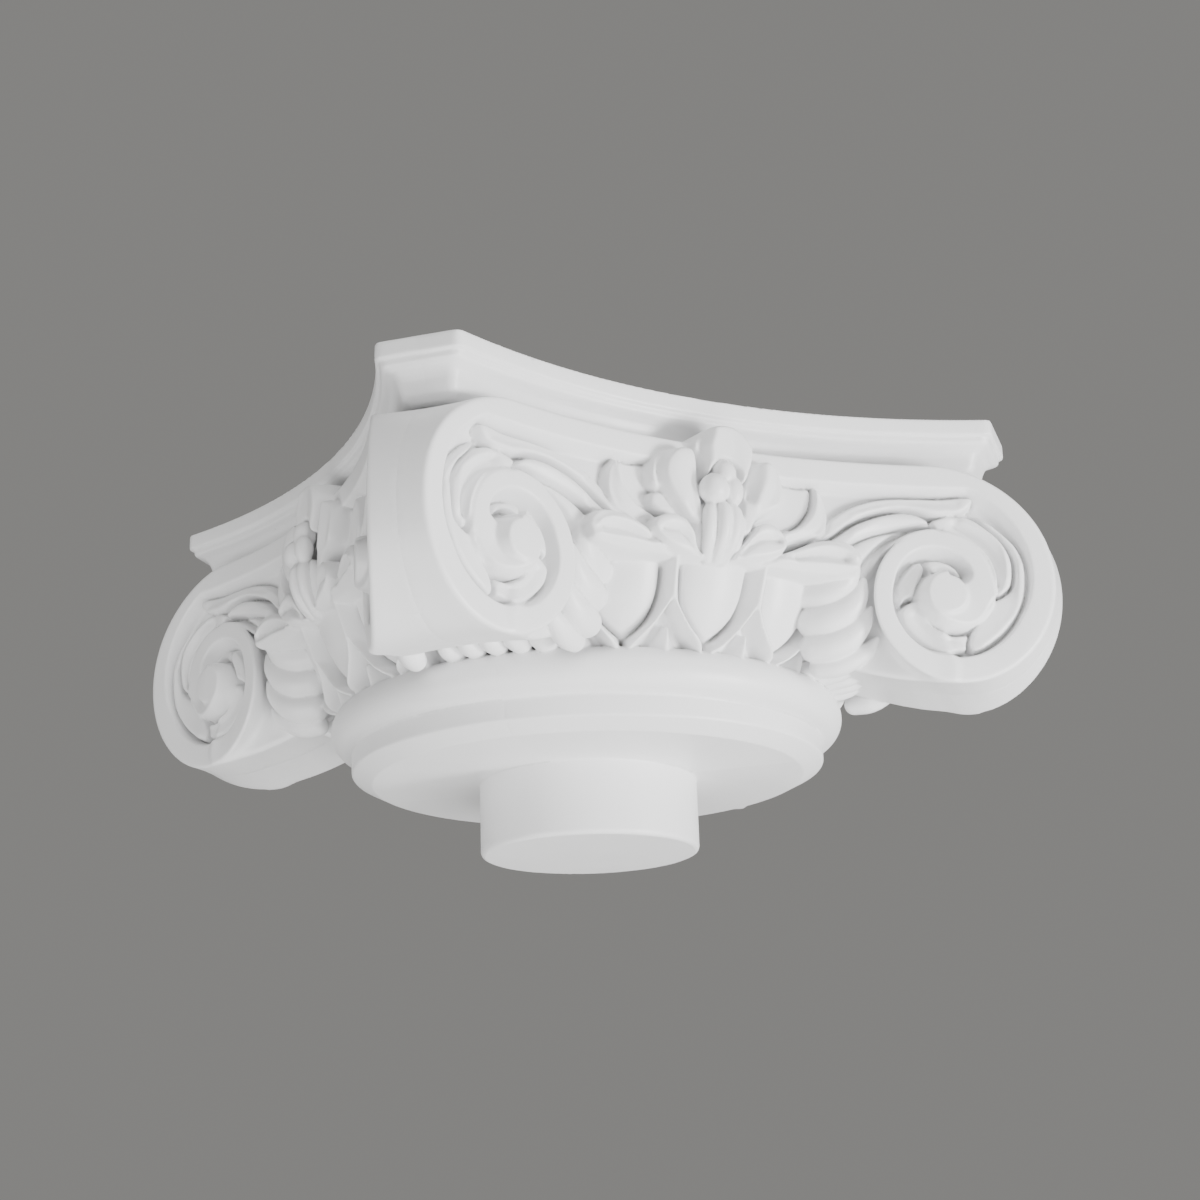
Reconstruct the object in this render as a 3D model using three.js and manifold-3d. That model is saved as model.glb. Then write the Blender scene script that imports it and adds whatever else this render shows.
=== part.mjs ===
// Angular Ionic capital with four diagonal scrolls: one white casting, with a spigot below for a hollow shaft.
// Millimetres, +Z up. The origin is on the axis, at the underside of the spigot.
// Each of the four faces is a concave cylinder. Relief is placed on it by s, the length along
// its curve from the middle, z, the height, and h, how far it stands proud of the face.
import * as THREE from 'three';
import { mergeVertices } from 'three/addons/utils/BufferGeometryUtils.js';
import Module from 'manifold-3d';

const wasm = await Module();
wasm.setup();

const SPIGOT_RADIUS = 46;
const SEAT_HEIGHT = 30.8;
const SEAT_RADIUS = 91.3;
const NECK_RADIUS = 100;
const NECK_TOP = 43.9;
const TORUS_RADIUS = 108.7;
const TORUS_HEIGHT = 53;
const TORUS_TOP = 62;
const ECHINUS_FOOT_RADIUS = 97;
const ECHINUS_TOP_RADIUS = 111;
const ECHINUS_TOP = 98;
const NECK_SIDES = 36;

const ABACUS_TOP = 161.7;
const ABACUS_SIDE_RADIUS = 280.9;
const ABACUS_SIDE_CENTRE = 397.15;
const ABACUS_HORN_SUM = 261;
// [height, inset from the edge] of the abacus moulding, from the top down
const ABACUS_PROFILE = [
  [ABACUS_TOP, 0], [154.2, 0], [152, 4], [149, 4.6], [145, 7.5], [136, 18],
];

const FACE_RADIUS = 300.5;
const FACE_CENTRE = 420.3;
const EYE_ALONG = 96.8;
const EYE_HEIGHT = 85.9;
const SCROLL_RADIUS = 54;
const SCROLL_SHRINK = 0.00217;
const SCROLL_TOP = EYE_HEIGHT + SCROLL_RADIUS;
const BAND_WIDTH = 11;
const BAND_SWELL = 2.3;
const BAND_SWELL_ANGLE = 125;
const BAND_BEVEL = 1.2;
const INNER_BEVEL = 0.8;
const CHANNEL_DEPTH = 6.5;
const SECTIONS_PER_TURN = 18;
const CHANNEL_SECTIONS = 21;
// start and end angle of each leaf that lies in the channel round the eye
const CHANNEL_LEAVES = [[-10, 160], [160, 265], [265, 385]];
const CHANNEL_LEAF_RISE = 4.6;
const CANAL_HORN_SUM = 228;
const CANAL_SINK = 0.3;
const HEM_HOLLOW = 1.6;
const CANAL_FOOT = 96;
const CANAL_RIM_FOOT = 130;
const CANAL_BEVEL = 3.5;
const WEB_HALF_WIDTH = 28;

const EGG_SPACING = 18.5;
const EGG_PROUD = 10;
const SHELL_HALF_WIDTH = 17.4;
const SHELL_THICKNESS = 3.6;
const SHELL_PROUD = 4.6;
const SHELL_TIP = 59.5;
const SHELL_FULLNESS = 2.6;
const CALYX_SIDES = 10;
const CALYX_GROOVE = 0.2;

const QUARTERS = [0, 1, 2, 3].map((i) => (i * Math.PI) / 2);
const rad = THREE.MathUtils.degToRad;

function facePoint(s, z, h) {
  const angle = s / FACE_RADIUS;
  const radius = FACE_RADIUS - h;
  return new THREE.Vector3(radius * Math.sin(angle), radius * Math.cos(angle) - FACE_CENTRE, z);
}

function revolvedPoint(degrees, radius, z) {
  const angle = rad(degrees);
  return new THREE.Vector3(radius * Math.sin(angle), -radius * Math.cos(angle), z);
}

// closed mesh through rings of equal length, with a fan of triangles on each end ring
function loft(rings) {
  const count = rings[0].length;
  const positions = rings.flat().flatMap((p) => [p.x, p.y, p.z]);
  const index = [];
  for (let i = 0; i + 1 < rings.length; i += 1) {
    for (let j = 0; j < count; j += 1) {
      const a = i * count + j;
      const b = i * count + ((j + 1) % count);
      index.push(a, b, b + count, a, b + count, a + count);
    }
  }
  [0, rings.length - 1].forEach((end) => {
    const centre = new THREE.Vector3();
    rings[end].forEach((p) => centre.addScaledVector(p, 1 / count));
    positions.push(centre.x, centre.y, centre.z);
    const hub = positions.length / 3 - 1;
    for (let j = 0; j < count; j += 1) {
      const a = end * count + j;
      const b = end * count + ((j + 1) % count);
      index.push(...(end === 0 ? [hub, b, a] : [hub, a, b]));
    }
  });
  const geometry = new THREE.BufferGeometry();
  geometry.setAttribute('position', new THREE.Float32BufferAttribute(positions, 3));
  geometry.setIndex(index);
  return geometry;
}

function signedVolume(position, index) {
  const [a, b, c] = [new THREE.Vector3(), new THREE.Vector3(), new THREE.Vector3()];
  let sum = 0;
  for (let i = 0; i < index.count; i += 3) {
    a.fromBufferAttribute(position, index.getX(i));
    b.fromBufferAttribute(position, index.getX(i + 1));
    c.fromBufferAttribute(position, index.getX(i + 2));
    sum += a.dot(b.cross(c));
  }
  return sum;
}

function solid(source) {
  const bare = source.clone();
  bare.deleteAttribute('normal');
  bare.deleteAttribute('uv');
  const geometry = mergeVertices(bare, 1e-4);
  const { position } = geometry.attributes;
  const triangles = new Uint32Array(geometry.index.array);
  if (signedVolume(position, geometry.index) < 0) {
    for (let i = 0; i < triangles.length; i += 3) [triangles[i], triangles[i + 1]] = [triangles[i + 1], triangles[i]];
  }
  const mesh = new wasm.Mesh({ numProp: 3, vertProperties: position.array, triVerts: triangles });
  return new wasm.Manifold(mesh);
}

const join = (solids) => solids.reduce((all, one) => all.add(one));

function turned(geometry, angle, mirrored = false) {
  const copy = geometry.clone();
  if (mirrored) copy.scale(-1, 1, 1);
  return solid(copy.rotateZ(angle));
}

const onEachFace = (geometries) => QUARTERS.flatMap((angle) => geometries.map((g) => turned(g, angle)));

const onEachHalfFace = (geometries) =>
  QUARTERS.flatMap((angle) => geometries.flatMap((g) => [turned(g, angle), turned(g, angle, true)]));

// neck: spigot, flat seat for the shaft, necking band and torus
function makeCore() {
  const torus = [-60, -20, 20, 60].map((degrees) => {
    const rise = Math.sin(rad(degrees)) * (TORUS_TOP - NECK_TOP) * 0.5;
    const reach = TORUS_RADIUS - NECK_RADIUS;
    return [NECK_RADIUS + reach * Math.cos(rad(degrees)), TORUS_HEIGHT + rise];
  });
  const profile = [
    [0, 0], [SPIGOT_RADIUS, 0], [SPIGOT_RADIUS, SEAT_HEIGHT],
    [SEAT_RADIUS, SEAT_HEIGHT], [NECK_RADIUS - 3, SEAT_HEIGHT + 1.4], [NECK_RADIUS, SEAT_HEIGHT + 4.4],
    [NECK_RADIUS, NECK_TOP], ...torus,
    [ECHINUS_FOOT_RADIUS - 4, TORUS_TOP + 1], [0, TORUS_TOP + 8],
  ].map(([radius, z]) => new THREE.Vector2(radius, z));
  return solid(new THREE.LatheGeometry(profile, NECK_SIDES).rotateX(Math.PI / 2));
}

// plan with four concave sides and cut-off horns, inset from the edge of the abacus
function concavePlan(z, inset, radius, centre, hornSum, steps) {
  const arc = radius + inset;
  const sum = hornSum - inset * Math.SQRT2;
  const b = centre - sum;
  const half = (-b + Math.sqrt(b * b - 2 * (b * b - arc * arc))) / 2;
  const limit = Math.asin(half / arc);
  const side = [];
  for (let i = 0; i <= steps; i += 1) {
    const angle = limit * ((2 * i) / steps - 1);
    side.push(new THREE.Vector3(arc * Math.sin(angle), arc * Math.cos(angle) - centre, z));
  }
  return QUARTERS.flatMap((turn) => side.map((p) => p.clone().applyAxisAngle(new THREE.Vector3(0, 0, 1), turn)));
}

function makeAbacus() {
  const rings = ABACUS_PROFILE.map(([z, inset]) =>
    concavePlan(z, inset, ABACUS_SIDE_RADIUS, ABACUS_SIDE_CENTRE, ABACUS_HORN_SUM, 6));
  return solid(loft(rings));
}

// the sunk band behind the leaves, and the straight rim above it that runs from scroll to scroll
function makeCanal() {
  const plan = (z, inset) => concavePlan(z, inset, FACE_RADIUS, FACE_CENTRE, CANAL_HORN_SUM, 8);
  const sunk = CHANNEL_DEPTH + CANAL_SINK;
  const top = SCROLL_TOP - CANAL_SINK;
  return solid(loft([
    plan(CANAL_FOOT, sunk), plan(CANAL_RIM_FOOT - CANAL_BEVEL, sunk), plan(CANAL_RIM_FOOT, CANAL_SINK),
    plan(top, CANAL_SINK), plan(top + 1, 12),
  ]));
}

// distance from the eye, at this angle, to a level line above it
const reachOfLine = (degrees, z) => (z - EYE_HEIGHT) / Math.max(Math.cos(rad(degrees)), 0.1);

// outer edge of the scroll, which starts as the straight top of the canal
function scrollRadius(degrees) {
  return degrees < 0 ? reachOfLine(degrees, SCROLL_TOP) : SCROLL_RADIUS * Math.exp(-SCROLL_SHRINK * degrees);
}

function bandEdge(degrees) {
  const edge = scrollRadius(degrees) - BAND_WIDTH - BAND_SWELL * Math.cos(rad(degrees - BAND_SWELL_ANGLE));
  return Math.min(edge, reachOfLine(degrees, CANAL_RIM_FOOT - CANAL_BEVEL));
}

function aroundEye(degrees, radius, h) {
  const s = EYE_ALONG + radius * Math.sin(rad(degrees));
  return facePoint(s, EYE_HEIGHT + radius * Math.cos(rad(degrees)), h);
}

const acrossCorner = (p) => new THREE.Vector3(-p.y, -p.x, p.z);

// height of the leaf ridge in the channel, over its floor
function channelRidge(degrees) {
  const [from, to] = CHANNEL_LEAVES.find(([start, end]) => degrees >= start && degrees < end) ?? [degrees, degrees + 1];
  return CHANNEL_LEAF_RISE * Math.sin((Math.PI * (degrees - from)) / (to - from)) ** 0.6;
}

// points of the spiral at one angle: arris, inner edge of the flat band, then floor, leaf ridge and floor
function spiralSection(degrees) {
  const edge = bandEdge(degrees);
  const next = scrollRadius(degrees + 360);
  const bevel = BAND_BEVEL + CANAL_BEVEL * Math.max(0, Math.cos(rad(degrees)));
  const flat = Math.min(edge + bevel, reachOfLine(degrees, CANAL_RIM_FOOT));
  return [
    aroundEye(degrees, scrollRadius(degrees), 0), aroundEye(degrees, flat, 0),
    aroundEye(degrees, edge, -CHANNEL_DEPTH),
    aroundEye(degrees, (edge + next) / 2, channelRidge(degrees) - CHANNEL_DEPTH),
    aroundEye(degrees, next + INNER_BEVEL, -CHANNEL_DEPTH),
  ];
}

// one corner scroll: a spiral band and channel on both faces, joined by a hem that is hollow across
function makeScroll() {
  const step = 360 / SECTIONS_PER_TURN;
  const last = CHANNEL_SECTIONS + SECTIONS_PER_TURN;
  const left = [];
  const vertexAt = (section, place) => (section < CHANNEL_SECTIONS
    ? section * 5 + place
    : CHANNEL_SECTIONS * 5 + (place === 0 ? section : last) - CHANNEL_SECTIONS);
  for (let i = 0; i < CHANNEL_SECTIONS; i += 1) left.push(...spiralSection((i - 1) * step));
  for (let i = CHANNEL_SECTIONS; i <= last; i += 1) left.push(spiralSection((i - 1) * step)[0]);
  const eye = left.length;
  left.push(aroundEye(0, 0, 0));
  const index = [];
  for (let i = 0; i < CHANNEL_SECTIONS; i += 1) {
    for (let place = 0; place < 5; place += 1) {
      const inward = place === 4 ? [i + SECTIONS_PER_TURN, 0] : [i, place + 1];
      const [a, b] = [vertexAt(i, place), vertexAt(...inward)];
      const [c, d] = [vertexAt(i + 1, place), vertexAt(inward[0] + 1, inward[1])];
      index.push(a, b, c);
      if (d !== b && c !== d) index.push(b, d, c);
    }
  }
  for (let i = CHANNEL_SECTIONS; i <= last; i += 1) {
    index.push(vertexAt(i, 0), eye, i === last ? vertexAt(CHANNEL_SECTIONS, 0) : vertexAt(i + 1, 0));
  }
  const rim = [];
  for (let i = 0; i <= SECTIONS_PER_TURN; i += 1) rim.push(vertexAt(i, 0));
  rim.push(...[4, 3, 2, 1].map((place) => vertexAt(0, place)));
  const right = left.map(acrossCorner);
  const middle = rim.map((v, i) => {
    const hollow = HEM_HOLLOW * Math.sin((Math.PI * Math.min(i, SECTIONS_PER_TURN)) / SECTIONS_PER_TURN);
    const q = (left[v].x - left[v].y) / 2 - hollow * Math.SQRT1_2;
    return new THREE.Vector3(q, -q, left[v].z);
  });
  const size = left.length;
  const all = [...left, ...right, ...middle];
  const triangles = [...index];
  for (let i = 0; i < index.length; i += 3) triangles.push(index[i] + size, index[i + 2] + size, index[i + 1] + size);
  for (let i = 0; i < rim.length; i += 1) {
    const j = (i + 1) % rim.length;
    const [a, b, m, n] = [rim[i], rim[j], 2 * size + i, 2 * size + j];
    triangles.push(a, b, n, a, n, m, m, n, b + size, m, b + size, a + size);
  }
  const geometry = new THREE.BufferGeometry();
  geometry.setAttribute('position', new THREE.Float32BufferAttribute(all.flatMap((p) => [p.x, p.y, p.z]), 3));
  geometry.setIndex(triangles);
  return solid(geometry);
}

// web that carries the scroll from the neck, as wide as the hem
function makeWeb() {
  const section = [[60, 62], [100, 54], [158, 50], [158, 58], [136, 68], [136, 132], [60, 132]];
  const ring = (t) => section.map(([q, z]) => new THREE.Vector3((q + t) * Math.SQRT1_2, (t - q) * Math.SQRT1_2, z));
  return solid(loft([ring(-WEB_HALF_WIDTH), ring(WEB_HALF_WIDTH)]));
}

// leaf with one ridge, laid on the face: stations are [s, z, half width, crest height]
function leaf(stations, steps, base) {
  const path = new THREE.CatmullRomCurve3(stations.map(([s, z]) => new THREE.Vector3(s, z, 0)));
  const size = new THREE.CatmullRomCurve3(stations.map(([, , width, crest]) => new THREE.Vector3(width, crest, 0)));
  const rings = [];
  for (let i = 0; i <= steps; i += 1) {
    const at = path.getPoint(i / steps);
    const along = path.getTangent(i / steps);
    const { x: width, y: crest } = size.getPoint(i / steps);
    const [ds, dz] = [-along.y * width, along.x * width];
    rings.push([
      facePoint(at.x + ds, at.y + dz, base), facePoint(at.x + 0.3 * ds, at.y + 0.3 * dz, crest),
      facePoint(at.x - ds, at.y - dz, base),
    ]);
  }
  return loft(rings);
}

function makeSprays() {
  const base = -CHANNEL_DEPTH - 1;
  return [
    leaf([[36, 101, 5, -2], [60, 115, 7, 0], [84, 121, 6, -1], [110, 124, 1.5, -4]], 5, base),
    leaf([[38, 106, 4, -3], [49, 114, 4.5, -0.5], [45, 129, 1, -3]], 3, base),
  ];
}

// blade with a lens section in free space: stations are [x, depth, z, half width], cupped forward
function blade(stations, steps, thickness, cup) {
  const path = new THREE.CatmullRomCurve3(stations.map(([x, depth, z]) => new THREE.Vector3(x, -depth, z)));
  const size = new THREE.CatmullRomCurve3(stations.map(([, , , width]) => new THREE.Vector3(width, 0, 0)));
  const outward = new THREE.Vector3(0, -1, 0);
  const rings = [];
  for (let i = 0; i <= steps; i += 1) {
    const at = path.getPoint(i / steps);
    const side = path.getTangent(i / steps).cross(outward).normalize();
    const width = size.getPoint(i / steps).x;
    rings.push([[-1, cup], [0, 0], [1, cup], [0, -thickness]].map(([across, out]) =>
      at.clone().addScaledVector(side, across * width).addScaledVector(outward, out)));
  }
  return loft(rings);
}

const berry = ([x, depth, z, radius]) => new THREE.SphereGeometry(radius, 6, 4).translate(x, -depth, z);

// top petal, berries and fluted calyx at the middle of a face
function makeFlower() {
  const berries = [[-6.4, 129, 119, 6.6], [-2.5, 128, 127, 5.4], [2, 131.5, 117.5, 5.2]].map(berry);
  const calyx = [[-4, 119, 92, 2], [-4, 121.5, 99, 7.5], [-4, 124.5, 107, 9], [-4.5, 125.5, 114.5, 7.5]];
  const rings = calyx.map(([x, depth, z, radius]) => {
    const ring = [];
    for (let i = 0; i < CALYX_SIDES; i += 1) {
      const reach = radius * (i % 2 ? 1 - CALYX_GROOVE : 1);
      ring.push(revolvedPoint((i * 360) / CALYX_SIDES, reach, z).add(new THREE.Vector3(x, -depth, 0)));
    }
    return ring;
  });
  return [blade([[0, 112, 112, 7], [0, 120, 130, 13], [0, 125, 147.5, 7]], 3, 7, 2), ...berries, loft(rings)];
}

// side petal, curled leaf and long flat leaf, on one side of the flower
function makeFlowerSides() {
  return [
    blade([[3, 112, 110, 4], [14, 120, 121, 10], [22, 126, 130, 9], [26, 128, 137, 4]], 3, 8, 2),
    blade([[4, 116, 96, 2], [16, 126, 104, 4.5], [27, 128, 105, 2]], 2, 8, -1.5),
    blade([[2, 112, 93, 3], [22, 118, 95, 5], [44, 125, 100, 7], [62, 128, 94, 2]], 3, 12, -2.5),
  ];
}

// [length across, height over the bell] of an egg in its pointed shell, at one level
function eggSection(level) {
  const shell = SHELL_HALF_WIDTH * (1 - level ** SHELL_FULLNESS) + 0.3;
  const egg = Math.max(shell - SHELL_THICKNESS, 0.15);
  const belly = THREE.MathUtils.lerp(SHELL_PROUD, EGG_PROUD, egg / SHELL_HALF_WIDTH);
  const half = [[shell, SHELL_PROUD * 0.6], [egg + 0.6, SHELL_PROUD], [egg, SHELL_PROUD * 0.6], [egg * 0.5, belly]];
  return [...half.map(([across, out]) => [-across, out]), ...half.reverse()];
}

// bell above the torus, with three eggs on each face like arches turned upside down
function makeEchinus() {
  const top = ECHINUS_TOP + 2;
  return solid(loft([1, 0.84, 0.55, 0].map((level) => {
    const z = top - (top - SHELL_TIP) * level;
    const bell = THREE.MathUtils.lerp(ECHINUS_TOP_RADIUS, ECHINUS_FOOT_RADIUS, (top - z) / (top - TORUS_TOP));
    const section = eggSection(level);
    return [0, 90, 180, 270].flatMap((face) => [
      ...[-1, 0, 1].flatMap((place) => section.map(([across, out]) =>
        revolvedPoint(face + place * EGG_SPACING + THREE.MathUtils.radToDeg(across / bell), bell + out, z))),
      revolvedPoint(face + 45, bell, z),
    ]);
  })));
}

// three folded husk leaves, one above another, between the eggs and the scroll
function makeHusks() {
  const levels = [[58, 2], [66, 9], [70, 5], [78, 11], [82, 7], [92, 12]];
  return [loft(levels.map(([z, bulge]) => {
    const back = 102 + (z - 58) * 0.12;
    return [[48, -4], [53, bulge], [62, bulge + 6], [74, 8], [60, -12]].map(([x, out]) =>
      new THREE.Vector3(x, -back - out, z));
  }))];
}

function makeCapital() {
  const degrees = QUARTERS.map((angle) => THREE.MathUtils.radToDeg(angle));
  const [scroll, web] = [makeScroll(), makeWeb()];
  const corners = degrees.flatMap((angle) => [scroll.rotate([0, 0, angle]), web.rotate([0, 0, angle])]);
  return join([
    makeCore(), makeEchinus(), makeAbacus(), makeCanal(), ...corners,
    ...onEachHalfFace([...makeSprays(), ...makeFlowerSides(), ...makeHusks()]),
    ...onEachFace(makeFlower()),
  ]);
}

function toGeometry(manifold) {
  const { vertProperties, triVerts } = manifold.getMesh();
  const geometry = new THREE.BufferGeometry();
  geometry.setAttribute('position', new THREE.BufferAttribute(new Float32Array(vertProperties), 3));
  geometry.setIndex(new THREE.BufferAttribute(new Uint32Array(triVerts), 1));
  geometry.computeVertexNormals();
  return geometry;
}

const castWhite = new THREE.MeshStandardMaterial({ color: 0xe9e9e7, roughness: 0.42, metalness: 0 });
const capital = new THREE.Mesh(toGeometry(makeCapital()), castWhite);
capital.name = 'capital';

const group = new THREE.Group();
group.add(capital);

export default group;
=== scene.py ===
"""Angular Ionic capital: one white casting with four diagonal scrolls, seen from below at the left."""

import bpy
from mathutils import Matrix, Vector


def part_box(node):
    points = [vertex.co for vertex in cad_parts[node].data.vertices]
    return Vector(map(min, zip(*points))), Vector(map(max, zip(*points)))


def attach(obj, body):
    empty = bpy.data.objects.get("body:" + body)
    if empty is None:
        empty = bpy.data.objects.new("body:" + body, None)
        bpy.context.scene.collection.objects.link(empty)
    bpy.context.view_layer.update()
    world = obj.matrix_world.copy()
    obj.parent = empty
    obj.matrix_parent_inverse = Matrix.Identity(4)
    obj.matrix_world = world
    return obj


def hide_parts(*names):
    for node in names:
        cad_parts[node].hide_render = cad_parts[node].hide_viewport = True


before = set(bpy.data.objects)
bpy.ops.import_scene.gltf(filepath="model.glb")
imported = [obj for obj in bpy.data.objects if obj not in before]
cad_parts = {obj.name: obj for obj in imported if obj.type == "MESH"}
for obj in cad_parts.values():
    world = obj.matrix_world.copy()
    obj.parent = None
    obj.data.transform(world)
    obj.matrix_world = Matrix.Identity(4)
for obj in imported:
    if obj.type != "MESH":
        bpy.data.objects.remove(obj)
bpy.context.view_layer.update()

import bmesh
import bpy
import numpy as np
import openvdb
from mathutils import Matrix, Vector


# Stock for the carving. The real model was carved and then cast, and its four faces repeat, so a block of
# distances to the surface is carved for half a face, from its middle to the corner, mirrored to a quarter
# of the capital, and turned for the other quarters. Lengths are millimetres until the mesh is made.
low, high = (np.array(corner) * 1000 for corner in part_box("capital"))
height = high[2] - low[2]
cell = 0.5
margin = 4
fillet_room = 3
seam_lap = 1.2
far = 3.0
columns = int((high[0] + margin) / cell)
layers = int((height + 2 * margin) / cell)
across = (np.arange(columns, dtype=np.float32) + 0.5) * cell
plan_x, plan_y = np.meshgrid(across, -across, indexing="ij")
in_quarter = plan_x + plan_y < seam_lap * np.sqrt(2)
x = plan_x[in_quarter]
y = plan_y[in_quarter]
z = np.arange(layers, dtype=np.float32) * cell - margin
radius = np.hypot(x, y)
block = np.full((len(x), layers), far, dtype=np.float32)


def band(foot, top):
    """The layers between two heights, with room for fillets."""
    first = int((foot - fillet_room + margin) / cell)
    return slice(max(first, 0), min(int((top + fillet_room + margin) / cell) + 1, layers))


def fuse(a, b, blend):
    """Both solids, with a fillet where they meet."""
    share = np.clip(0.5 + 0.5 * (b - a) / blend, 0, 1)
    return b + (a - b) * share - blend * share * (1 - share)


def trim(a, b, blend):
    """Only what is in both solids, with a rounded edge."""
    return -fuse(-a, -b, blend)


def segment_distance(p, q, across, up):
    """Distance to a straight line between two points."""
    dx, dy = q[0] - p[0], q[1] - p[1]
    along = np.clip(((across - p[0]) * dx + (up - p[1]) * dy) / (dx * dx + dy * dy + 1e-9), 0, 1)
    return np.hypot(across - p[0] - along * dx, up - p[1] - along * dy)


def polygon_distance(outline, across, up):
    """Distance to a closed outline, less than zero inside it."""
    corners = np.array(outline, dtype=np.float32)
    nearest = np.full(np.broadcast(across, up).shape, 1e6, dtype=np.float32)
    inside = np.zeros(nearest.shape, dtype=bool)
    for p, q in zip(corners, np.roll(corners, -1, axis=0)):
        nearest = np.minimum(nearest, segment_distance(p, q, across, up))
        if q[1] != p[1]:
            crosses = across < (q[0] - p[0]) * (up - p[1]) / (q[1] - p[1]) + p[0]
            inside ^= ((p[1] > up) != (q[1] > up)) & crosses
    return np.where(inside, -nearest, nearest)


def spread(table, first, spacing, place):
    """Reads a table of (across, layer) at a place across for each column of the block."""
    at = np.clip((place - first) / spacing, 0, table.shape[0] - 1.001)
    row = at.astype(np.int32)
    part = (at - row).astype(np.float32)[..., None]
    return table[row] * (1 - part) + table[row + 1] * part


def moulding(outline, place, levels):
    """A profile of (across, height) points, run along everything at the same place across."""
    run = np.arange(place.min() - 1, place.max() + 1, cell / 2, dtype=np.float32)
    table = polygon_distance(outline, run[:, None], levels[None, :])
    return spread(table, run[0], run[1] - run[0], place)


def add(part, where, blend):
    """Joins a part, made over a band of layers, to the block."""
    block[:, where] = fuse(block[:, where], part, blend)


# Necking: a round spigot that drops into the hollow shaft, the flat seat round it, a plain band with a
# bevelled foot, and a torus above. Turned as one profile about the axis.
spigot_radius = 46
spigot_round = 1.6
seat_radius = 91.3
seat_height = 30.8
band_radius = 100
band_bevel = 4.4
band_top = 43.9
torus_reach = 8.7
torus_top = 62
bell_height = 98
torus_middle = (band_top + torus_top) / 2
torus_steps = np.radians(np.linspace(-84, 84, 25))
torus = [(band_radius + torus_reach * np.cos(a), torus_middle + (torus_top - torus_middle) * np.sin(a))
         for a in torus_steps]
neck_outline = [
    (-20, 0), (spigot_radius - spigot_round, 0), (spigot_radius - spigot_round * 0.3, spigot_round * 0.3),
    (spigot_radius, spigot_round), (spigot_radius, seat_height), (seat_radius, seat_height),
    (band_radius, seat_height + band_bevel), (band_radius, band_top), *torus, (band_radius - 8, torus_top),
    (band_radius - 8, bell_height), (-20, bell_height),
]
where = band(0, bell_height)
add(moulding(neck_outline, radius, z[where]), where, 0.2)


# Bell with egg and dart: the bell swells up from the torus to the leaves, and three eggs in pointed shells
# lie on each face of it. The shells meet in a ridge above, with a small dart between them below.
bell_foot_radius = 97
bell_top_radius = 111
egg_spacing = 18.5
egg_half = 6.9
egg_tip = 64.3
egg_fullness = 4.4
egg_edge = 6.5
egg_dome = 5.0
groove_width = 0.45
groove_floor = 0.5
shell_tip = 59.3
shell_join = 77.5
shell_foot = 4.5
ridge_proud = 15.0
ground = 2.5
dart_apex = 70
dart_foot = 59.5
dart_half = 4.4
dart_proud = 10.5
degrees_step = 0.1
where = band(shell_tip, bell_height)
bell_z = z[where]
bell_degrees = np.arange(-1, 47, degrees_step, dtype=np.float32)[:, None]
bell_radius = bell_foot_radius + (bell_top_radius - bell_foot_radius) * np.clip(
    (bell_z - torus_top) / (bell_height - torus_top), -0.2, 1)
from_egg = np.abs((bell_degrees + egg_spacing / 2) % egg_spacing - egg_spacing / 2)
egg_level = np.clip((bell_z - egg_tip) / (bell_height - egg_tip), 0, 1)
egg_width = np.maximum(egg_half * (1 - (1 - egg_level) ** egg_fullness), 0.01)
shell_level = np.clip((bell_z - shell_tip) / (shell_join - shell_tip), 0, 1)
shell_width = egg_spacing / 2 * shell_level ** 0.58
belly = np.clip(1 - (from_egg / egg_width) ** 2, 0, 1) ** 0.5
egg_relief = egg_edge + egg_dome * belly * np.clip((bell_z - egg_tip) / 16, 0, 1) ** 0.5
slope_width = np.maximum(shell_width - egg_width - groove_width, 0.4)
slope_share = np.clip((from_egg - egg_width - groove_width) / slope_width, 0, 1)
shell_relief = shell_foot + (ridge_proud - shell_foot) * np.minimum(1.15 * slope_share, 1) ** 0.85
to_dart = egg_spacing / 2 - from_egg
dart_share = np.clip((dart_apex - bell_z) / (dart_apex - dart_foot), 0, 1)
dart_width = np.maximum(dart_half * dart_share, 0.01)
dart_relief = ground + (dart_proud - ground) * np.clip(1 - to_dart / dart_width, 0, 1)
bell_relief = np.where(from_egg < egg_width, egg_relief, groove_floor)
bell_relief = np.where(from_egg > egg_width + groove_width, shell_relief, bell_relief)
past_shell = (from_egg > shell_width) | (bell_z < shell_tip)
bell_relief = np.where(past_shell, dart_relief, bell_relief)
last_shell = 28.5
bell_relief = np.where(bell_degrees > last_shell, ground, bell_relief)


def soften(table, passes):
    """Rounds a relief off as the cast does."""
    for _ in range(passes):
        padded = np.pad(table, 1, mode="edge")
        table = (padded[:-2, 1:-1] + 2 * padded[1:-1, 1:-1] + padded[2:, 1:-1]) / 4
        padded = np.pad(table, 1, mode="edge")
        table = (padded[1:-1, :-2] + 2 * padded[1:-1, 1:-1] + padded[1:-1, 2:]) / 4
    return table.astype(np.float32)


def stand_on(table, spacing, first, step, place, proud):
    """Distance to a relief of (place, layer), eased where the relief is steep."""
    along, up = np.gradient(table, spacing, cell)
    slope = np.sqrt(1 + along ** 2 + up ** 2).astype(np.float32)
    return (proud[..., None] - spread(table, first, step, place)) / spread(slope, first, step, place)


bell_table = soften(bell_radius + bell_relief, 2)
arc_step = np.radians(degrees_step) * bell_top_radius
bell = stand_on(bell_table, arc_step, bell_degrees[0, 0], degrees_step, np.degrees(np.arctan2(x, -y)), radius)
add(trim(bell, np.maximum(shell_tip - 0.5 - bell_z, bell_z - bell_height), 0.4), where, 0.3)


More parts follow.
